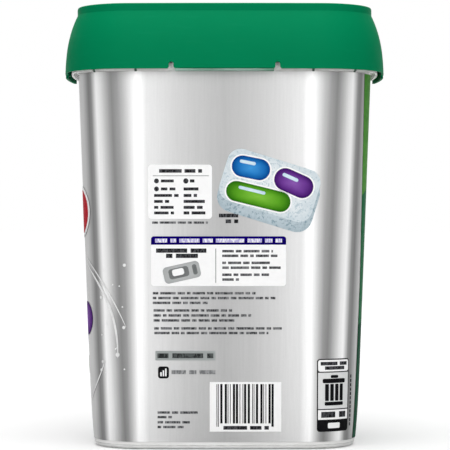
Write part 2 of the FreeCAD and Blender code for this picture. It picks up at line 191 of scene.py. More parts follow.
def tub_material():
    """White plastic; each step of the foot is a small ridge at its level with a thin grey line of painted
    shade along it.
    """
    material, tree, shader = new_material("tub_white", Specular_IOR_Level=0.35, Subsurface_Weight=0.12,
                                          Subsurface_Scale=2 * MM, Subsurface_Radius=(1.0, 1.0, 1.0))
    skin = place_group(tree, moulded_skin, Tone=colour(TUB_WHITE), Shade=colour(TUB_SHADE),
                       Gloss=TUB_GLOSS, Peel=TUB_PEEL)
    place = object_axes(tree)
    lines = [maths(tree, "COMPARE", place["Z"], level, STEP_HALF) for level in STEP_LEVELS]
    steps = maths(tree, "MAXIMUM", *lines)
    ridge = wire(tree, "ShaderNodeBump", Strength=0.3, Distance=STEP_RIDGE, Height=steps,
                 Normal=skin["Normal"])
    # Painted shade: a mottled grey line along each step of the foot.
    step_shade = maths(tree, "MULTIPLY", steps, speckle(tree, *STEP_SHADE_MOTTLE))
    stepped = mixed(tree, step_shade, skin["Color"], colour(STEP_SHADE_GREY))
    # The slots' insides take a dark colour that is painted shade.
    feed(tree, shader, Base_Color=mixed(tree, in_slots(tree, place), stepped, colour(SLOT_PAINTED_SHADE)),
         Roughness=skin["Roughness"], Normal=ridge.outputs[0])
    return material


dress("tub", tub_material())

# The lid: one green polypropylene moulding with a soft gloss. The strap of its hinge, which clips
# under the collar, is the same plastic, painted a paler, duller green as painted light that lifts it
# out of the skirt's shade. Handling leaves faint paler rubs on both.

LID_GREEN = "#007A4F"
LID_DEEP = "#00784D"
# Painted light: the strap's green is paler than the lid's to make up for the shade it sits in.
STRAP_PAINTED_LIGHT_GREEN = "#B6D2C6"
RUB_GREEN = "#2A9A74"
RUBS = (3.0, 0.6, 0.85, 0.1)
RUB_STRETCH = (14.0, 14.0, 160.0)
LID_PEEL = 0.06
LID_GLOSS = 0.46
STRAP_GLOSS = 0.4


def lid_material(name, tone, shade, gloss):
    """Green plastic with level streaks of paler rub marks."""
    material, tree, shader = new_material(name, Specular_IOR_Level=0.02)
    skin = place_group(tree, moulded_skin, Tone=colour(tone), Shade=colour(shade),
                       Gloss=gloss, Peel=LID_PEEL)
    rubs = speckle(tree, *RUBS, stretch=RUB_STRETCH, detail=5.0)
    feed(tree, shader, Base_Color=mixed(tree, rubs, skin["Color"], colour(RUB_GREEN)),
         Roughness=skin["Roughness"], Normal=skin["Normal"])
    return material


dress("lid", lid_material("lid_green", LID_GREEN, LID_DEEP, LID_GLOSS))
# The strap's paler green is painted light over the lid's own plastic.
dress("hinge_clip", lid_material("hinge_painted_light_green", STRAP_PAINTED_LIGHT_GREEN, LID_DEEP, STRAP_GLOSS))

# The label: a metallised film wrapped once round the tapered wall. Its silver ground carries painted
# reflections: light and dark bands that run up the corners, over a fine upright brushing.

COLLAR = 204.8
WALL_HALF_WIDTH = 81.8
SLOPE = 0.038
UPRIGHT_TO = 46.5
LEAN_FROM = 53.5
INNER_LEAN = 0.18
FILM_SHARE = 0.965
FILM_GLOSS = 0.3
STREAK_DULLING = -0.05
GRAIN_DULLING = -0.03
STREAKS = (1.0, 0.3, 0.7)
STREAK_STRETCH = (900.0, 900.0, 5.0)
WIDE_STRETCH = (160.0, 160.0, 2.0)
GRAIN = (1400.0, 0.3, 0.7)
GRAIN_DEPTH = 0.1 * MM
GLOSS_SPREAD = 0.1
# Painted reflections: light and dark bands of the silver by the share of the way out to the side.
SILVER_PAINTED_REFLECTIONS = (
    (0.00, "#B0B0B0"), (0.20, "#BCBCBC"), (0.35, "#CBCBCB"), (0.515, "#DDDDDD"), (0.55, "#F4F4F4"),
    (0.58, "#FFFFFF"), (0.63, "#D8D8D8"), (0.665, "#BCBCBC"), (0.71, "#969696"), (0.75, "#848484"),
    (0.77, "#989898"), (0.79, "#B3B3B3"), (0.81, "#CECECE"), (0.83, "#E6E6E6"), (0.855, "#F5F5F5"),
    (0.89, "#8C8C8C"), (0.91, "#7A7A7A"), (0.95, "#B8B8B8"), (1.00, "#B0B0B0"),
)


def brushed_film_group():
    """Brushed film: fine upright streaks in tone and gloss, over a faint grain."""
    group, given, result = new_group(
        "brushed_film", {"Ground": ("Color", colour("#BCBCBC")), "Gloss": ("Float", FILM_GLOSS)},
        {"Color": "Color", "Roughness": "Float", "Normal": "Vector"})
    streaks = speckle(group, *STREAKS, stretch=STREAK_STRETCH)
    wide_streaks = speckle(group, *STREAKS, stretch=WIDE_STRETCH, detail=2.0)
    grain = speckle(group, *GRAIN, detail=2.0)
    dulled = maths(group, "MULTIPLY_ADD", streaks, STREAK_DULLING,
                   maths(group, "MULTIPLY_ADD", wide_streaks, GRAIN_DULLING,
                         maths(group, "MULTIPLY_ADD", grain, GRAIN_DULLING, FILM_SHARE)))
    grey = wire(group, "ShaderNodeCombineColor", Red=dulled, Green=dulled, Blue=dulled).outputs[0]
    bump = wire(group, "ShaderNodeBump", Strength=0.04, Distance=GRAIN_DEPTH, Height=grain)
    group.links.new(mixed(group, 1.0, given["Ground"], grey, "MULTIPLY"), result["Color"])
    group.links.new(maths(group, "MULTIPLY_ADD", streaks, GLOSS_SPREAD, given["Gloss"]), result["Roughness"])
    group.links.new(bump.outputs[0], result["Normal"])
    return group


brushed_film = brushed_film_group()


def label_material():
    """Silver with painted reflections: its tone follows how far a point lies inside the tub's side at its
    level.

    The share is the distance from the middle plane plus what the wall has tapered by, over the
    half width under the collar; the taper counts less towards the middle, so the inner pale band
    stays nearly upright.
    """
    material, tree, shader = new_material("label_silver", Metallic=0.8, Specular_IOR_Level=0.3)
    place = object_axes(tree)
    taper = maths(tree, "MULTIPLY_ADD", place["Z"], -SLOPE, SLOPE * COLLAR * MM)
    aside = maths(tree, "ABSOLUTE", place["X"])
    lean = wire(tree, "ShaderNodeMapRange", Value=aside, From_Min=UPRIGHT_TO * MM,
                From_Max=LEAN_FROM * MM, To_Min=INNER_LEAN, To_Max=1.0).outputs[0]
    reach = maths(tree, "MULTIPLY_ADD", taper, lean, aside)
    ramp = wire(tree, "ShaderNodeValToRGB", Fac=maths(tree, "DIVIDE", reach, WALL_HALF_WIDTH * MM))
    stops = ramp.color_ramp.elements
    while len(stops) < len(SILVER_PAINTED_REFLECTIONS):
        stops.new(0.5)
    for stop, (position, code) in zip(stops, SILVER_PAINTED_REFLECTIONS):
        stop.position = position
        stop.color = colour(code)
    film = place_group(tree, brushed_film, Ground=ramp.outputs[0], Gloss=FILM_GLOSS)
    feed(tree, shader, Base_Color=film["Color"], Roughness=film["Roughness"], Normal=film["Normal"])
    return material


dress("label", label_material())

# The printed panels and lines on the back. All print is ink on the film, a few hundredths of a
# millimetre thick, and follows the wall round its corners. Lines of words are plain broken bars.

RIM = 229.0
WALL_HALF_DEPTH = 56.55
WALL_CORNER = 28.8
CORNER_SLOPE = 0.006
SIDE_BOW = 290.0
END_BOW = 1700.0
FOOT_TUCK = 1.4
TUCK_POWER = 16
INK_LIFT = 0.10
INK_LAYER = 0.035
COLUMN_WIDE = 1.5
ROW_HIGH = 10.0
WORDS = (4.6, 2.3, 6.4, 3.1, 1.5, 5.2, 2.6, 7.3, 3.7, 1.9)
WORD_GAP = 0.8
INK_SHINE = 0.01
INK_GLOSS = 0.38
INK_SCREEN = (380.0, 0.4, 0.62)
RIM_POWER = 3.0
STROKES = (1.0, 0.42, 0.58)
STROKE_STRETCH = (1300.0, 1300.0, 420.0)


def wall_arcs(z):
    """The label's outline at level z: its four kinds of arc and where each of them ends.

    It is a shallow arc across the back, a corner, a bowed side, a corner and the front's arc. The
    corner's centre is where circles about the side's and the end's centres cross.
    """
    drop = SLOPE * (COLLAR - z) + FOOT_TUCK * (1 - z / RIM) ** TUCK_POWER
    corner = WALL_CORNER - CORNER_SLOPE * (COLLAR - z)
    side_x, end_y = WALL_HALF_WIDTH - drop - SIDE_BOW, WALL_HALF_DEPTH - drop - END_BOW
    apart = np.hypot(side_x, end_y)
    side, end = SIDE_BOW - corner, END_BOW - corner
    along = (side**2 - end**2 + apart**2) / (2 * apart)
    across = np.sqrt(side**2 - along**2)
    right, up = -side_x / apart, end_y / apart
    cx, cy = side_x + along * right - across * up, along * up + across * right
    lean, rise = np.arctan2(cy, cx - side_x), np.arctan2(cy - end_y, cx)
    back, turn, flank = END_BOW * (np.pi / 2 - rise), corner * (rise - lean), 2 * SIDE_BOW * lean
    ends = (back, back + turn, back + turn + flank, back + 2 * turn + flank)
    return side_x, end_y, cx, cy, corner, lean, rise, ends


def on_label(u, z, lift):
    """Points in metres on the label's face: u runs round it from the middle of the back, z up it.

    u is spent along the outline's arcs in turn, and each point then moves out by lift along its
    arc's own radius. Where u is negative the point is mirrored in the middle plane.
    """
    side_x, end_y, cx, cy, corner, lean, rise, ends = wall_arcs(z)
    run = np.abs(u)
    legs = (
        (0 * cx, end_y, END_BOW, np.pi / 2 - run / END_BOW, 1),
        (cx, cy, corner, rise - (run - ends[0]) / corner, 1),
        (side_x, 0 * cy, SIDE_BOW, lean - (run - ends[1]) / SIDE_BOW, 1),
        (cx, -cy, corner, -lean - (run - ends[2]) / corner, 1),
        (0 * cx, end_y, END_BOW, np.pi / 2 - (ends[3] + ends[0] - run) / END_BOW, -1),
    )
    which = sum((run > end_of).astype(int) for end_of in ends)
    x = np.choose(which, [px + (radius + lift) * np.cos(angle) for px, py, radius, angle, flip in legs])
    y = np.choose(which, [flip * (py + (radius + lift) * np.sin(angle))
                          for px, py, radius, angle, flip in legs])
    return MM * np.stack([x * np.where(u < 0, -1, 1), -y, z + 0 * x], axis=-1)


def sheet(u, z, layer, rim):
    """A grid of label points as corners, four-sided faces and the share of the way to its rim."""
    rows, columns = u.shape
    corners = np.arange(rows * columns).reshape(rows, columns)
    faces = np.stack([corners[:-1, :-1], corners[:-1, 1:], corners[1:, 1:], corners[1:, :-1]], axis=-1)
    points = on_label(u, z, INK_LIFT + layer * INK_LAYER)
    return points.reshape(-1, 3), faces.reshape(-1, 4), rim.ravel()


def ink_field(u, z, wide, high, corner=0.0, turn=0.0, layer=0):
    """A rounded rectangle of ink centred on (u, z), turned by an angle, all in millimetres.

    Its rows lie closer together near the ends, where a row is as wide as the corner's own circle
    leaves it: half the width less the corner, plus the root of corner squared less rise squared.
    """
    corner = min(corner, wide / 2, high / 2)
    body = high / 2 - corner
    bend = np.sin(np.linspace(0, np.pi / 2, 8)) * corner
    upright = np.linspace(-body, body, max(3, int(high / ROW_HIGH) + 2))
    levels = np.unique(np.round(np.concatenate([-body - bend, upright, body + bend]), 4))
    over = np.clip(np.abs(levels) - body, 0, corner)
    half = wide / 2 - corner + np.sqrt(np.maximum(corner**2 - over**2, 0))
    shares = np.linspace(-1, 1, max(3, int(wide / COLUMN_WIDE) + 2))
    across, upward = half[:, None] * shares[None, :], np.repeat(levels[:, None], len(shares), axis=1)
    rim = np.minimum((shares[None, :] ** 4 + (2 * levels[:, None] / high) ** 4) ** 0.25, 1)
    c, s = math.cos(turn), math.sin(turn)
    return sheet(u + across * c - upward * s, z + across * s + upward * c, layer, rim)


def ink_between(u0, z0, u1, z1, corner=0.0, layer=0):
    """A field of ink between two opposite corners."""
    return ink_field((u0 + u1) / 2, (z0 + z1) / 2, abs(u1 - u0), abs(z1 - z0), corner, 0.0, layer)


def word_bars(start, stop, z, high, first=0, layer=0):
    """A line of print as plain bars: their lengths follow WORDS in turn, in heights of the line."""
    bars, place = [], start
    while place < stop - high / 2:
        finish = min(place + WORDS[first % len(WORDS)] * high, stop)
        bars.append(ink_between(place, z - high / 2, finish, z + high / 2, layer=layer))
        place, first = finish + WORD_GAP * high, first + 1
    return bars


def print_ink_group():
    """Printing ink: a fine screen towards a second colour, darker at its rim, uneven in gloss."""
    group, given, result = new_group(
        "print_ink",
        {"Ink": ("Color", colour("#F4F4F2")), "Screen": ("Color", colour("#DDDDDB")),
         "Cover": ("Float", 0.2), "Rim": ("Float", 0.0)},
        {"Color": "Color", "Roughness": "Float"})
    screen = speckle(group, *INK_SCREEN)
    rim = wire(group, "ShaderNodeAttribute", {"attribute_name": "rim"}).outputs["Fac"]
    shade = maths(group, "MULTIPLY", maths(group, "POWER", rim, RIM_POWER), given["Rim"])
    tone = mixed(group, maths(group, "MULTIPLY", screen, given["Cover"]), given["Ink"], given["Screen"])
    group.links.new(mixed(group, shade, tone, given["Screen"]), result["Color"])
    group.links.new(maths(group, "MULTIPLY_ADD", screen, GLOSS_SPREAD, INK_GLOSS), result["Roughness"])
    return group


print_ink = print_ink_group()


def ink_material(name, ink, screen, cover=0.2, rim=0.0):
    """One colour of print."""
    material, tree, shader = new_material(name, Specular_IOR_Level=INK_SHINE)
    mix = place_group(tree, print_ink, Ink=colour(ink), Screen=colour(screen), Cover=cover, Rim=rim)
    feed(tree, shader, Base_Color=mix["Color"], Roughness=mix["Roughness"])
    return material


def letter_material(name, ink, between):
    """Ink of a line of words: strokes about half a millimetre apart show paper between them."""
    material, tree, shader = new_material(name, Specular_IOR_Level=INK_SHINE)
    strokes = speckle(tree, *STROKES, stretch=STROKE_STRETCH, detail=1.0)
    mix = place_group(tree, print_ink, Ink=colour(ink), Screen=colour(between), Cover=0.1)
    feed(tree, shader, Base_Color=mixed(tree, strokes, mix["Color"], colour(between)),
         Roughness=mix["Roughness"])
    return material


def add_print(name, parts, material):
    """One print from several patches of ink, riding on the tub."""
    offsets = np.cumsum([0] + [len(points) for points, faces, rim in parts[:-1]])
    points = np.concatenate([part[0] for part in parts])
    faces = np.concatenate([part[1] + offset for part, offset in zip(parts, offsets)])
    mesh = bpy.data.meshes.new(name)
    mesh.from_pydata(points.tolist(), [], faces.tolist())
    mesh.polygons.foreach_set("use_smooth", np.ones(len(faces), dtype=bool))
    attribute = mesh.attributes.new("rim", "FLOAT", "POINT")
    attribute.data.foreach_set("value", np.concatenate([part[2] for part in parts]))
    mesh.materials.append(material)
    piece = bpy.data.objects.new(name, mesh)
    bpy.context.collection.objects.link(piece)
    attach(piece, "tub")


white_ink = ink_material("ink_white", "#FFFFFF", "#F4F4F4")
grey_ink = ink_material("ink_grey", "#8E9090", "#7B7D7D")
bold_letters = letter_material("letters_bold", "#18181A", "#4C4D50")
fine_letters = letter_material("letters_fine", "#404143", "#7E7F81")
pale_letters = letter_material("letters_pale", "#F0EFF8", "#B4AEDC")

LOWER_PANEL = (-39.6, 33.2)
add_print("print_panels", [
    ink_between(-41.1, 125.0, -6.7, 154.2, 1.8),
    ink_between(LOWER_PANEL[0], 88.8, LOWER_PANEL[1], 113.0, 1.6),
], white_ink)
add_print("print_title_bar", [
    ink_between(LOWER_PANEL[0], 111.2, LOWER_PANEL[1], 115.6, 1.5, layer=1),
    ink_between(LOWER_PANEL[0], 111.1, LOWER_PANEL[1], 113.2, layer=1),
], ink_material("ink_indigo", "#12006A", "#1B0A78"))
add_print("print_title_words", word_bars(-37.4, 31.0, 113.3, 2.1, 3, layer=2), pale_letters)

PANEL_ROWS = (145.4, 141.1, 137.6, 134.4, 131.2, 128.2)
LEFT_ROWS = ((-34.2, -26.0), (-34.2, -26.4), (-37.9, -24.7), (-37.9, -28.6), (-37.9, -27.4), (-37.9, -27.2))
RIGHT_ROWS = ((-18.6, -14.4), (-22.0, -14.0), (-22.0, -14.8), (-22.0, -10.6), (-22.0, -11.4), (-22.0, -9.6))
left_column = [ink_field(-36.6, z, 2.6, 2.6, 1.3, layer=1) for z in PANEL_ROWS[:2]]
left_column += [bar for number, (z, (start, stop)) in enumerate(zip(PANEL_ROWS, LEFT_ROWS))
                for bar in word_bars(start, stop, z, 1.5, number, layer=1)]
right_column = [ink_field(-20.8, PANEL_ROWS[0], 2.8, 2.8, 1.4, layer=1)]
right_column += [bar for number, (z, (start, stop)) in enumerate(zip(PANEL_ROWS, RIGHT_ROWS))
                 for bar in word_bars(start, stop, z, 1.6, number + 4, layer=1)]
heading = word_bars(-35.2, -12.1, 150.8, 1.9, 2, layer=1)
bold_rows = word_bars(-36.9, -8.9, 107.9, 2.3, 7, layer=1) + word_bars(-31.5, -14.3, 105.1, 2.3, 4, layer=1)
captions = word_bars(-3.0, 8.3, 126.8, 2.0, 5) + word_bars(0.6, 7.4, 123.7, 2.0, 4)
add_print("print_bold_words", left_column + right_column + heading + bold_rows + captions, bold_letters)
add_print("print_rules", [ink_between(-38.6, 148.0, -8.4, 148.35, layer=1),
                          ink_between(-4.9, 90.5, -4.5, 109.0, layer=1)], grey_ink)

TIP_ROWS = ((107.6, 26.1), (105.1, 28.8), (101.3, 24.5), (98.7, 32.0), (94.9, 24.0), (92.3, 7.8))
NOTE_ROWS = ((-38.7, 84.9, 16.8), (-38.7, 82.3, 27.5), (-38.7, 79.7, -9.1), (-38.3, 75.6, 4.1),
             (-38.3, 72.9, 14.4), (-38.3, 70.2, 5.6), (-37.9, 65.9, 30.9), (-37.9, 63.4, 23.7))
FOOT_ROWS = ((-36.2, 20.3, -13.2), (-36.2, 17.8, -28.4), (-36.2, 15.0, -18.7), (-36.2, 12.4, -20.8))
fine_rows = [bar for number, (z, stop) in enumerate(TIP_ROWS)
             for bar in word_bars(-1.2, stop, z, 1.35, 2 * number, layer=1)]
fine_rows += [bar for number, (start, z, stop) in enumerate(NOTE_ROWS + FOOT_ROWS)
              for bar in word_bars(start, stop, z, 1.3, 3 * number + 1)]
fine_rows += word_bars(-39.0, -8.9, 123.0, 1.2, 6)
add_print("print_fine_words", fine_rows, fine_letters)

# Small signs between the lines: a grey patch with one bold line, a dark tile with pale bars, and
# in the lower panel a plain tray with one tablet in it. They say nothing and only fill their places.

TRAY = (-23.0, 96.2)
TRAY_LEAN = 0.22
TILE_BARS = ((-34.7, 42.2), (-33.4, 43.2), (-32.1, 44.2))
TILE_BAR_WIDE = 0.8
TILE_BAR_FOOT = 40.0

black_ink = ink_material("ink_black", "#141416", "#2A2B2D")
add_print("print_grey_patch", [ink_between(-37.3, 48.6, -4.9, 53.7)],
          ink_material("ink_sage", "#A3A8A7", "#959C9A"))
add_print("print_patch_words", word_bars(-36.2, -6.0, 51.1, 2.6, 1, layer=1),
          letter_material("letters_patch", "#2A2C2C", "#565B5A"))
add_print("print_dark_tile", [ink_between(-35.9, 38.8, -30.0, 45.3, 1.4)], black_ink)
add_print("print_tile_bars", [
    ink_between(left, TILE_BAR_FOOT, left + TILE_BAR_WIDE, top, 0.2, layer=1) for left, top in TILE_BARS],
    white_ink)
add_print("print_tile_words", word_bars(-28.6, -4.9, 42.2, 2.1, 8),
          letter_material("letters_light", "#747678", "#9A9B9C"))
add_print("print_tray", [
    ink_field(TRAY[0], TRAY[1], 20.0, 9.0, 2.2, TRAY_LEAN, layer=1),
], ink_material("ink_tray", "#BFC1C1", "#9FA2A2", rim=0.6))
add_print("print_tray_well", [
    ink_field(TRAY[0] - 1.6, TRAY[1] - 0.2, 11.0, 5.6, 1.6, TRAY_LEAN, layer=2),
    ink_field(TRAY[0] + 7.0, TRAY[1] + 1.6, 2.4, 5.6, 1.0, TRAY_LEAN, layer=2),
], ink_material("ink_tray_dark", "#6A6D6D", "#8A8D8D", rim=0.4))
add_print("print_tray_tablet", [
    ink_field(TRAY[0] - 2.0, TRAY[1] + 0.1, 6.4, 3.6, 1.1, TRAY_LEAN, layer=3),
], white_ink)

# The picture of a tablet at its own size: a pale speckled slab, seen a little from above, with
# a green, a blue and a purple bead of gel on it. The same beads return on the front and the side.

SLAB_PALE = "#EEF3F5"
SLAB_SPECK = "#A9BFCA"
BEAD_INKS = {
    "green": ("#55A51B", "#256410", "#93D04E"), "blue": ("#0F70C2", "#083A80", "#4FAAE8"),
    "purple": ("#652D8E", "#37125A", "#9A68BE"),
}
GLOW_POWER = 1.6
GLOW_MOST = 0.75
SPECKS = (700.0, 0.55, 0.62)


def speckled_material(name, pale, speck, amount):
    """Pressed powder in print: a pale ground with small bluish specks and a darker rim."""
    material, tree, shader = new_material(name, Specular_IOR_Level=INK_SHINE)
    specks = speckle(tree, *SPECKS, amount, detail=2.0)
    mix = place_group(tree, print_ink, Ink=colour(pale), Screen=colour(speck), Cover=0.25, Rim=0.35)
    feed(tree, shader, Base_Color=mixed(tree, specks, mix["Color"], colour(speck)),
         Roughness=mix["Roughness"])
    return material


def bead_material(name, ink, deep, glow):
    """Gel in print: deep at its rim and paler towards the middle, by the share of the way inwards."""
    material, tree, shader = new_material(name, Specular_IOR_Level=INK_SHINE)
    mix = place_group(tree, print_ink, Ink=colour(ink), Screen=colour(deep), Cover=0.15, Rim=0.9)
    rim = wire(tree, "ShaderNodeAttribute", {"attribute_name": "rim"}).outputs["Fac"]
    inward = maths(tree, "POWER", maths(tree, "SUBTRACT", 1.0, rim), GLOW_POWER)
    feed(tree, shader, Roughness=mix["Roughness"],
         Base_Color=mixed(tree, maths(tree, "MULTIPLY", inward, GLOW_MOST), mix["Color"], colour(glow)))
    return material


slab_side_ink = speckled_material("ink_slab_side", "#C9D6DC", "#8199A6", 0.8)
slab_top_ink = speckled_material("ink_slab_top", SLAB_PALE, SLAB_SPECK, 0.6)
bead_materials = {name: bead_material("ink_bead_" + name, *inks) for name, inks in BEAD_INKS.items()}
glint_material = ink_material("ink_glint", "#DDEFF8", "#B9D6EA", 0.3, 0.7)
BEADS = (("green", -4.0, -6.6, 34.0, 10.5, 0.06), ("blue", -12.0, 6.4, 20.0, 11.0, 0.10),
         ("purple", 11.5, 5.4, 21.0, 11.6, -0.12))
SLAB_SIDE = (0.8, -4.2, 51, 29, 8)
SLAB_TOP = (0, 0.6, 50, 28, 7)
SEAT_MORE = 1.6
SEAT_CORNER = 6.5
BEAD_CORNER = 5.6
GLINT_ASIDE = 0.12
GLINT_UP = 0.2
GLINT_WIDE = 0.42
GLINT_HIGH = 0.16
GLINT_CORNER = 1.0


def tablet_picture(name, u, z, size, turn, base=0):
    """A slab and its beads about a middle; every place in BEADS is turned and scaled with it.

    Local (a, b) goes to (u + a cos - b sin, z + a sin + b cos), both times the size.
    """
    c, s = math.cos(turn), math.sin(turn)

    def field(a, b, wide, high, corner, lean, layer):
        """One rounded field of the picture, given in the slab's own millimetres."""
        return ink_field(u + size * (a * c - b * s), z + size * (a * s + b * c), wide * size, high * size,
                         corner * size, turn + lean, base + layer)

    add_print(name + "_side", [field(*SLAB_SIDE, 0, 0)], slab_side_ink)
    add_print(name + "_top", [field(*SLAB_TOP, 0, 1)], slab_top_ink)
    add_print(name + "_seats", [field(a, b, wide + SEAT_MORE, high + SEAT_MORE, SEAT_CORNER, lean, 2)
                                for tone, a, b, wide, high, lean in BEADS], white_ink)
    for tone, a, b, wide, high, lean in BEADS:
        add_print(f"{name}_{tone}", [field(a, b, wide, high, BEAD_CORNER, lean, 3)], bead_materials[tone])
    add_print(name + "_glints", [
        field(a - wide * GLINT_ASIDE, b + high * GLINT_UP, wide * GLINT_WIDE, high * GLINT_HIGH,
              GLINT_CORNER, lean, 4)
        for tone, a, b, wide, high, lean in BEADS], glint_material)


tablet_picture("picture_back", 24.2, 142.4, 1.04, -0.3)

# The bar code, whose bars follow a simple rule and have no meaning, and the box that tells how to
# sort the empty tub: a black frame round white panels with rows of words, a slatted bin on a pale
# grey ground between them, and a broken line beside the box.

BARS = 20
CODE_START = -4.3
CODE_WIDE = 30.9
CODE_TOP = 35.8
SHORT_BAR = 14.4
LONG_BAR = 12.6
SORT_LEFT = 50.0
SORT_RIGHT = 70.2
SORT_EDGE = 0.6
BIN_MIDDLE = 60.1
BIN_BARS = ((39.6, 4.6, 1.6, 0.6), (37.3, 14.0, 2.4, 0.8), (24.9, 11.6, 2.0, 0.6))
SLAT_STEP = 3.0
DASHES = 12
DASH_STEP = 2.4

add_print("barcode_patch", [ink_between(-8.0, 9.9, 30.7, 36.9)], white_ink)
order = np.arange(BARS)
widths = 1 + (5 * order**2 + 3 * order) % 4
gaps = 1 + (3 * order**2 + order) % 3
starts = np.concatenate([[0], np.cumsum(widths + gaps)[:-1]])
module = CODE_WIDE / (starts[-1] + widths[-1])
add_print("barcode_bars", [
    ink_between(CODE_START + start * module, LONG_BAR if number in (0, 1, BARS - 1) else SHORT_BAR,
                CODE_START + (start + width) * module, CODE_TOP, layer=1)
    for number, (start, width) in enumerate(zip(starts, widths))], black_ink)
add_print("barcode_foot_bars", word_bars(-0.6, 24.0, 12.0, 2.0, 2, layer=1), bold_letters)

add_print("sorting_frame", [ink_between(SORT_LEFT, 9.6, SORT_RIGHT, 49.3, 1.6)], black_ink)
add_print("sorting_panels", [
    ink_between(SORT_LEFT + SORT_EDGE, 42.4, SORT_RIGHT - SORT_EDGE, 48.7, 1.2, layer=1),
    ink_between(SORT_LEFT + SORT_EDGE, 16.2, SORT_RIGHT - SORT_EDGE, 21.5, layer=1),
    ink_field(BIN_MIDDLE, 12.9, 7.6, 3.0, 0.6, layer=1),
], white_ink)
add_print("sorting_ground", [
    ink_between(SORT_LEFT + SORT_EDGE, 22.1, SORT_RIGHT - SORT_EDGE, 41.8, layer=1),
], ink_material("ink_pale_grey", "#E4E5E5", "#D2D3D3"))
bin_bars = [ink_field(BIN_MIDDLE, *bar, layer=2) for bar in BIN_BARS]
bin_slats = [ink_field(BIN_MIDDLE + slat * SLAT_STEP, 31.0, 2.2, 9.2, 0.4, layer=2)
             for slat in (-1.5, -0.5, 0.5, 1.5)]
add_print("sorting_bin", bin_bars + bin_slats, black_ink)
add_print("sorting_words", word_bars(52.0, 68.6, 46.7, 1.9, 5, layer=2)
          + word_bars(54.4, 66.6, 44.3, 1.9, 2, layer=2) + word_bars(52.4, 68.0, 18.9, 3.2, 6, layer=2),
          bold_letters)
add_print("sorting_edge_line", [
    ink_between(71.8, 12.0 + dash * DASH_STEP, 73.0, 13.7 + dash * DASH_STEP) for dash in range(DASHES)],
    bold_letters)

# The front's fields: three tiers of green that start behind the back's right corner and sweep
# across the front to a white ribbon, with a red bar over them that ends behind the left corner.

FIELD_START = 81.2
FIELD_RAKE = 0.05
RAKE_BELOW = 90.0
SWEEP_PAST = 26.0
SWEEP_SWING = 22.0
SWEEP_FROM = 30.0
SWEEP_RISE = 62.0
TIER_TURN = 1.1
TIERS = (
    ("bright", 204.0, 0.0, 0.0, "#54963D", "#438634"), ("middle", 138.0, 34.0, 30.0, "#1F6C44", "#185F3B"),
    ("deep", 67.0, 24.0, 26.0, "#00482F", "#003F29"),
)
FIELD_TOP = 204.0
FOOT_EDGE = 4.6
RIBBON_UNDER = 1.6
RIBBON_LEAST = 1.2
RIBBON_SWELL = 2.4
RIBBON_RISE = 65.0
BAR_LEVEL = 129.0
BAR_HALF = 12.0
BAR_START = 34.0
BAR_END = 79.8
BAR_LAYERS = (("outline", 2.0, 4), ("red", 0.0, 5))
SIDE_BEADS = (("purple", -86.4, 70.5, 18.8), ("blue", -106.0, 60.0, 14.0), ("green", -99.0, 44.0, 10.0))


def front_middle(z):
    """How far round the label the middle of the front lies from the middle of the back."""
    ends = wall_arcs(z)[-1]
    return ends[3] + ends[0]


def between_lines(low, top, first, last, layer, rows=48, columns=110):
    """A patch from level low up to the curve top(share), between the lines first(z) and last(z).

    A point's level is low + s (top - low), and its place round the tub is first + share (last -
    first) at that level, with s and share from 0 to 1.
    """
    shares = np.linspace(0, 1, columns)
    z = low + np.linspace(0, 1, rows)[:, None] * (top(shares)[None, :] - low)
    u = first(z) + (last(z) - first(z)) * shares[None, :]
    return sheet(u, z, layer, np.zeros_like(u))


def field_edge(z):
    """The green's edge behind the back's corner: upright, and raked inwards near the foot."""
    return FIELD_START - FIELD_RAKE * np.maximum(RAKE_BELOW - z, 0)


def sweep_edge(z):
    """The green's edge on the front: a line past its middle plus a swing by the sine of the level."""
    return front_middle(z) + SWEEP_PAST + SWEEP_SWING * np.sin((z - SWEEP_FROM) / SWEEP_RISE)


def half_chord(z, half):
    """Half the chord at level z of the circle that rounds an end of the bar."""
    return np.sqrt(np.maximum(half**2 - (z - BAR_LEVEL) ** 2, 0))


def bar_end(z, reach):
    """A round end: the bar's end less the corner radius, plus the circle's own half chord."""
    half = BAR_HALF + reach
    return -(BAR_END - reach) - half + half_chord(z, half)


def bar_start(z, reach):
    """The round start, past the front's middle: its corner radius less the circle's half chord."""
    half = BAR_HALF + reach
    return -(front_middle(z) + BAR_START) + half - half_chord(z, half) - reach


for number, (name, level, swell, fall, ink, screen) in enumerate(TIERS):
    add_print("front_field_" + name, [between_lines(
        FOOT_EDGE, lambda share: level + swell * np.sin(TIER_TURN * np.pi * share) - fall * share,
        field_edge, sweep_edge, number)], ink_material("ink_green_" + name, ink, screen, 0.5))
add_print("front_ribbon", [between_lines(
    FOOT_EDGE, lambda share: FIELD_TOP + 0 * share, lambda z: sweep_edge(z) - RIBBON_UNDER,
    lambda z: sweep_edge(z) + RIBBON_LEAST + RIBBON_SWELL * np.sin(z / RIBBON_RISE) ** 2,
    3, columns=4)], white_ink)
red_ink = ink_material("ink_red", "#BE2230", "#A41A28", 0.4)
for (name, reach, layer), material in zip(BAR_LAYERS, (white_ink, red_ink)):
    half = BAR_HALF + reach
    add_print("front_bar_" + name, [between_lines(
        BAR_LEVEL - half, lambda share: BAR_LEVEL + half + 0 * share,
        lambda z: bar_start(z, reach), lambda z: bar_end(z, reach), layer, rows=49, columns=130)], material)
tablet_picture("picture_front", -float(front_middle(70.0)) - 6.0, 66.0, 1.35, 0.2, 4)
for tone, u, z, across in SIDE_BEADS:
    bead = ink_field(u, z, across, across, across / 2, layer=1)
    add_print("side_bead_" + tone, [bead], bead_materials[tone])

# Thin pale ribbons and sparks that trail from the front's picture round the left corner. They are
# printed in a thin white that lets a little of the silver through.

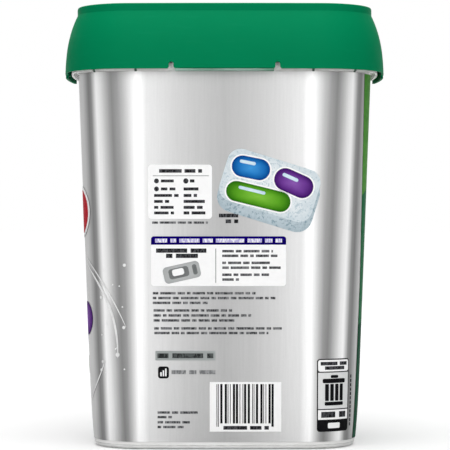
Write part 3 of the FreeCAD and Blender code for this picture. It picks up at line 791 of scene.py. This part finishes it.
RIBBONS = (
    (((-84.0, 104.0), (-66.0, 95.0), (-53.0, 66.0)), 0.9),
    (((-84.0, 101.0), (-57.0, 84.0), (-58.0, 49.0)), 1.5),
    (((-66.0, 49.0), (-71.0, 36.0), (-84.0, 24.0)), 0.9),
)
KNOTS = ((-58.1, 51.5, 2.4), (-69.2, 42.8, 1.8))
SPARKS = 15
SPARK_MIDDLE = -61.5
SPARK_SWING = 7.5
SPARK_TOP = 100.0
SPARK_STEP = 4.3
SPARK_LIFT = 2.0
SPARK_SIZE = 0.9
GOLDEN_TURN = 2.39996


def ribbon(ends, wide, layer=1, steps=24):
    """A tapering band along a parabola through three guide points, half its width each side.

    The line is (1-t)^2 P + 2t(1-t) Q + t^2 R, and the width follows the root of sin(pi t).
    """
    t = np.linspace(0.01, 0.99, steps)[:, None]
    first, guide, last = (np.array(point) for point in ends)
    line = (1 - t) ** 2 * first + 2 * t * (1 - t) * guide + t**2 * last
    along = np.gradient(line, axis=0)
    side = np.stack([along[:, 1], -along[:, 0]], axis=1) / np.linalg.norm(along, axis=1)[:, None]
    shares = np.linspace(-0.5, 0.5, 5)
    spread = wide * np.sqrt(np.sin(np.pi * t)) * shares[None, :]
    u = line[:, :1] + side[:, :1] * spread
    z = line[:, 1:] + side[:, 1:] * spread
    return sheet(u, z, layer, np.repeat(np.abs(2 * shares)[None, :], steps, axis=0))


thin_white = ink_material("ink_thin_white", "#F2F2F2", "#D4D4D4", 0.35, 0.4)
add_print("side_ribbons", [ribbon(ends, wide) for ends, wide in RIBBONS], thin_white)
add_print("side_knots", [
    ink_field(u, z, size, size, size / 2, layer=2) for u, z, size in KNOTS], thin_white)
spark = np.arange(SPARKS)
spark_across = SPARK_MIDDLE + SPARK_SWING * np.cos(spark * GOLDEN_TURN)
spark_levels = SPARK_TOP - SPARK_STEP * spark + SPARK_LIFT * np.sin(spark * GOLDEN_TURN)
spark_sizes = SPARK_SIZE + SPARK_SIZE * (spark * 5 % 4 == 0)
add_print("side_sparks", [
    ink_field(u, z, size, size, size / 2, layer=2)
    for u, z, size in zip(spark_across, spark_levels, spark_sizes)], thin_white)

# Floor, light and camera: a plain white floor and surround, a broad soft lamp above, one high
# before the tub's back with two weak ones beside it, one for its front, and a level camera.

FLOOR_HALF = 30.0
FLOOR_PALE = (0.6, 0.6, 0.6, 1.0)
FLOOR_DULL = (0.585, 0.585, 0.585, 1.0)
FLOOR_MOTTLE = (8.0, 0.3, 0.7, 0.5)
FLOOR_LIFT = 0.92
LAMP_SHARE = 0.62
LAMP_REACH = 1.5
AMBIENT = 0.2
LAMP_AIM = (0, 0, 0.12)
LAMPS = (
    ("above", (0.0, -0.2, 1.5), 1.2, 24.0), ("front", (0.0, -1.5, 1.0), 1.0, 10.0),
    ("behind", (0.0, 1.5, 1.1), 1.0, 6.0), ("left", (-0.85, -1.15, 0.55), 0.8, 1.2),
    ("right", (0.85, -1.15, 0.55), 0.8, 1.2),
)
CAMERA_ASIDE = 0.27 * MM
CAMERA_AWAY = 1105 * MM
CAMERA_LEVEL = 121.7 * MM
FOCAL_PIXELS = 1953.0
PICTURE = 450


def seen_rays(tree):
    """1 for rays that come from the camera or a mirror-like surface, 0 for rays that light."""
    rays = wire(tree, "ShaderNodeLightPath").outputs
    mirrored = maths(tree, "MAXIMUM", rays["Is Glossy Ray"], rays["Is Transmission Ray"])
    return maths(tree, "MAXIMUM", rays["Is Camera Ray"], mirrored)


def floor_material():
    """Matt white with a faint mottle, lifted to paper white for the rays that see it.

    The lift is least below the lamp, where its light fades as one over (1 + (r / reach)^2)^2, so
    that the floor looks evenly white and keeps the tub's shadow.
    """
    material, tree, shader = new_material("floor_white", Roughness=0.9, Specular_IOR_Level=0.0,
                                          Emission_Color=(1.0, 1.0, 1.0, 1.0))
    mottle = speckle(tree, *FLOOR_MOTTLE)
    away = wire(tree, "ShaderNodeVectorMath", {"operation": "LENGTH"}, i0=object_place(tree))
    reach = maths(tree, "DIVIDE", away.outputs["Value"], LAMP_REACH)
    spread = maths(tree, "ADD", maths(tree, "POWER", reach, 2.0), 1.0)
    lit = maths(tree, "DIVIDE", LAMP_SHARE, maths(tree, "POWER", spread, 2.0))
    lift = maths(tree, "SUBTRACT", FLOOR_LIFT, lit)
    feed(tree, shader, Base_Color=mixed(tree, mottle, FLOOR_PALE, FLOOR_DULL),
         Emission_Strength=maths(tree, "MULTIPLY", seen_rays(tree), lift))
    return material


floor_mesh = bpy.data.meshes.new("floor")
corners = np.array([(-1, -1, 0), (1, -1, 0), (1, 1, 0), (-1, 1, 0)]) * FLOOR_HALF
floor_mesh.from_pydata(corners.tolist(), [], [(0, 1, 2, 3)])
floor_mesh.materials.append(floor_material())
floor = bpy.data.objects.new("floor", floor_mesh)
bpy.context.collection.objects.link(floor)

world = bpy.data.worlds.new("studio")
bpy.context.scene.world = world
world.use_nodes = True
world.node_tree.nodes.clear()
strength = maths(world.node_tree, "MULTIPLY_ADD", seen_rays(world.node_tree), 1 - AMBIENT, AMBIENT)
sky = wire(world.node_tree, "ShaderNodeBackground", Color=(1.0, 1.0, 1.0, 1.0), Strength=strength)
wire(world.node_tree, "ShaderNodeOutputWorld", Surface=sky.outputs[0])


def add_lamp(name, place, size, power):
    """A square soft lamp that looks from its place towards the tub's middle."""
    lamp = bpy.data.lights.new(name, "AREA")
    lamp.size = size
    lamp.energy = power
    holder = bpy.data.objects.new(name, lamp)
    across, along, down = np.array(LAMP_AIM) - np.array(place)
    holder.location = place
    holder.rotation_euler = (math.atan2(math.hypot(across, along), -down), 0,
                             math.atan2(along, across) - math.pi / 2)
    bpy.context.collection.objects.link(holder)


for name, place, size, power in LAMPS:
    add_lamp("lamp_" + name, place, size, power)

camera_data = bpy.data.cameras.new("camera")
camera_data.sensor_width = 36.0
camera_data.lens = camera_data.sensor_width * FOCAL_PIXELS / PICTURE
camera_data.clip_end = 100.0
camera = bpy.data.objects.new("camera", camera_data)
camera.location = (CAMERA_ASIDE, -CAMERA_AWAY, CAMERA_LEVEL)
camera.rotation_euler = (math.pi / 2, 0, 0)
bpy.context.collection.objects.link(camera)
scene = bpy.context.scene
scene.camera = camera
scene.view_settings.view_transform = "Standard"
